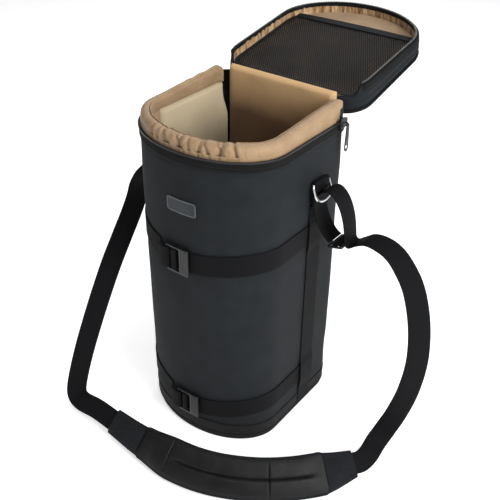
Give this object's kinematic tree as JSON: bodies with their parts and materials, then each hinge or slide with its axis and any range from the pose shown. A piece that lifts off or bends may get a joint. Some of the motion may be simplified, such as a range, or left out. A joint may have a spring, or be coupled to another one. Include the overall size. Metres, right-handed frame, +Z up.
{
  "type": "telescope carry case",
  "caption": "Padded upright carry case with a hinged zip lid, mesh lid pocket, compression bands and a webbing shoulder strap with a curved pad.",
  "frame": {"origin": "centre of the base's underside, on the floor", "axes": "+Z up, +Y to the back where the lid is hinged, +X to the side whose strap arcs outward"},
  "size_m": [0.496, 0.5758, 0.5422],
  "materials": {
    "shell_cloth": "coarse woven nylon, matt with a faint sheen",
    "tan_lining": "smooth tan nylon",
    "brushed_lining": "brushed knit",
    "webbing": "woven polypropylene webbing",
    "pad_leather": "fine grained artificial leather",
    "zip_tape": "woven zip tape",
    "zip_coil": "nylon coil",
    "net": "open nylon net",
    "hardware_plastic": "moulded acetal, semi matt",
    "slider_metal": "black painted die casting",
    "ring_steel": "nickel plated wire",
    "badge_weave": "woven label"
  },
  "bodies": {
    "case_body": {"base_panel": "shell_cloth", "base_piping": "shell_cloth", "outer_shell": "shell_cloth", "floor_pad": "brushed_lining", "front_pad": "tan_lining", "left_pad": "brushed_lining", "right_pad": "brushed_lining", "back_pad": "tan_lining", "rim_collar": "tan_lining", "zipper_lower_tape": "zip_tape", "zipper_lower_chain": "zip_coil", "zipper_end_tab_left": "zip_tape", "zipper_end_tab_right": "zip_tape", "hinge_tape": "shell_cloth", "corner_gusset_left": "shell_cloth", "corner_gusset_right": "shell_cloth", "side_webbing_left": "webbing", "side_webbing_right": "webbing", "ring_loop_left": "webbing", "ring_loop_right": "webbing", "strap_adjuster_left": "hardware_plastic", "strap_adjuster_right": "hardware_plastic", "shoulder_strap_left": "webbing", "shoulder_strap_right": "webbing", "shoulder_pad": "pad_leather", "pad_end_tab_left": "pad_leather", "pad_end_tab_right": "pad_leather", "upper_strap_run": "webbing", "upper_strap_anchor": "webbing", "upper_buckle_loop": "webbing", "lower_strap_run": "webbing", "lower_strap_anchor": "webbing", "lower_buckle_loop": "webbing", "badge": "badge_weave"},
    "lid": {"lid_skirt": "shell_cloth", "lid_top_panel": "shell_cloth", "lid_piping": "shell_cloth", "lid_top_pad": "tan_lining", "lid_side_lining": "tan_lining", "lid_zipper_tape": "zip_tape", "lid_zipper_chain": "zip_coil", "mesh_pocket": "net", "pocket_binding": "zip_tape"},
    "ring_left": {"d_ring_left": "ring_steel"},
    "ring_right": {"d_ring_right": "ring_steel"},
    "buckle_upper": {"upper_buckle": "hardware_plastic", "upper_strap_wrap": "webbing"},
    "buckle_lower": {"lower_buckle": "hardware_plastic", "lower_strap_wrap": "webbing"},
    "slider": {"zipper_slider": "slider_metal"},
    "pull": {"zipper_pull": "slider_metal"}
  },
  "joints": [
    {"name": "lid_hinge", "type": "hinge", "parent": "case_body", "child": "lid", "pos_m": [0, 0.1175, 0.486], "axis": [1, 0, 0], "range_deg": [0, 170]},
    {"name": "zipper_slide", "type": "slide", "parent": "case_body", "child": "slider", "axis": [0, -1, 0], "range_m": [0, 0.11]},
    {"name": "zipper_pull_swing", "type": "hinge", "parent": "slider", "child": "pull", "pos_m": [0.121, 0.082, 0.467], "axis": [0, -1, 0], "range_deg": [0, 165]},
    {"name": "d_ring_right_swing", "type": "hinge", "parent": "case_body", "child": "ring_right", "pos_m": [0.1165, 0.034, 0.4035], "axis": [0, -1, 0], "range_deg": [-3, 30]},
    {"name": "d_ring_left_swing", "type": "hinge", "parent": "case_body", "child": "ring_left", "pos_m": [-0.1165, 0.034, 0.4035], "axis": [0, 1, 0], "range_deg": [-3, 30]},
    {"name": "upper_buckle_lift", "type": "hinge", "parent": "case_body", "child": "buckle_upper", "pos_m": [-0.01778, -0.1194, 0.312], "axis": [0, 0, -1], "range_deg": [0, 35]},
    {"name": "lower_buckle_lift", "type": "hinge", "parent": "case_body", "child": "buckle_lower", "pos_m": [-0.01055, -0.11989, 0.057], "axis": [0, 0, -1], "range_deg": [0, 35]}
  ]
}
